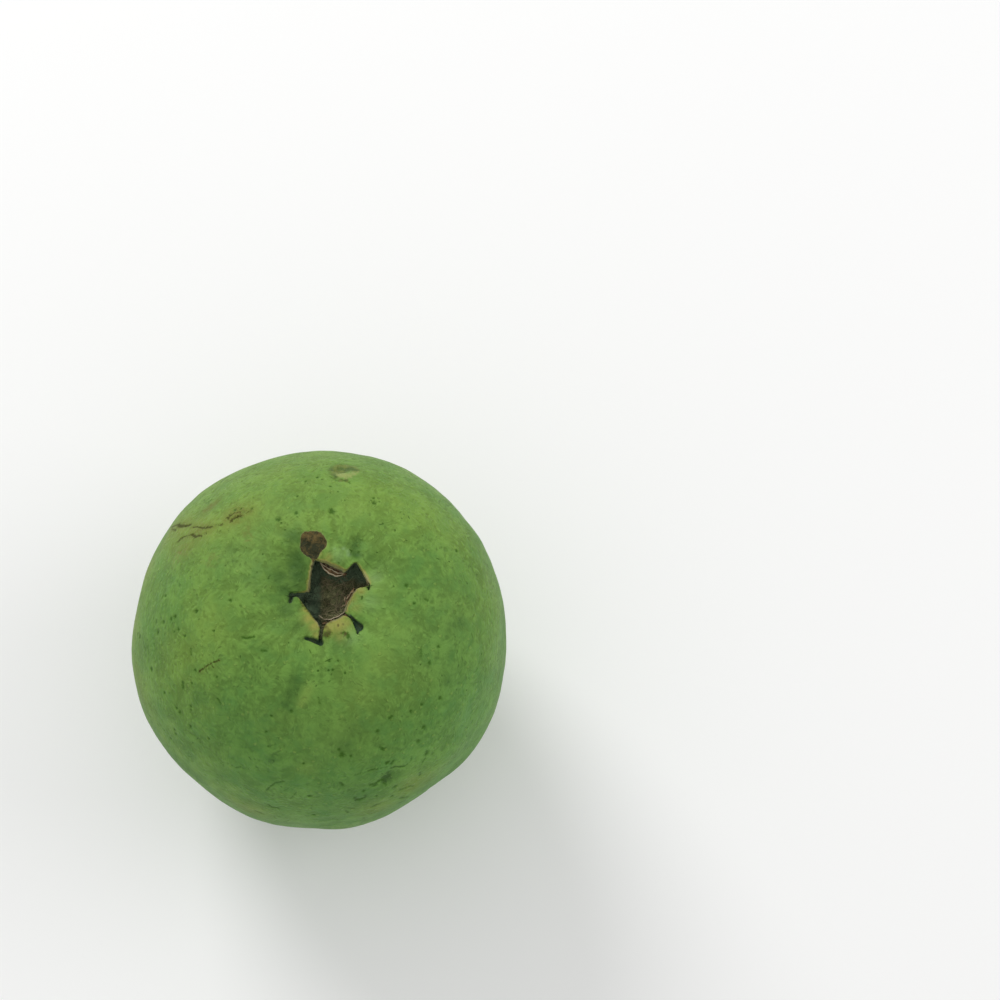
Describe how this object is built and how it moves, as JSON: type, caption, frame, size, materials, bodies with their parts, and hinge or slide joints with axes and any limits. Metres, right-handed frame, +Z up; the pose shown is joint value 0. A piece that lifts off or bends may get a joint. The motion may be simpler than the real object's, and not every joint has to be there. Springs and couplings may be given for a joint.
{
  "type": "guava",
  "caption": "Whole green guava, round with a slight taper to the stem end, its dried calyx torn into lobes round a shallow cup.",
  "frame": {"origin": "middle of the flat on the stem end that the fruit stands on, below the middle of the fruit's bounding box", "axes": "+Z up, from the stem end to the calyx; +Y from the middle of the calyx towards the round scar beside it, to within 18 degrees; +X by the right-hand rule"},
  "size_m": [0.0699, 0.0702, 0.0723],
  "materials": {
    "skin": "semi-matte green fruit skin with a fine mottle; the cup of the calyx and the scar beside it are dry and russet brown"
  },
  "bodies": {
    "root": {"guava": "skin"}
  },
  "joints": []
}
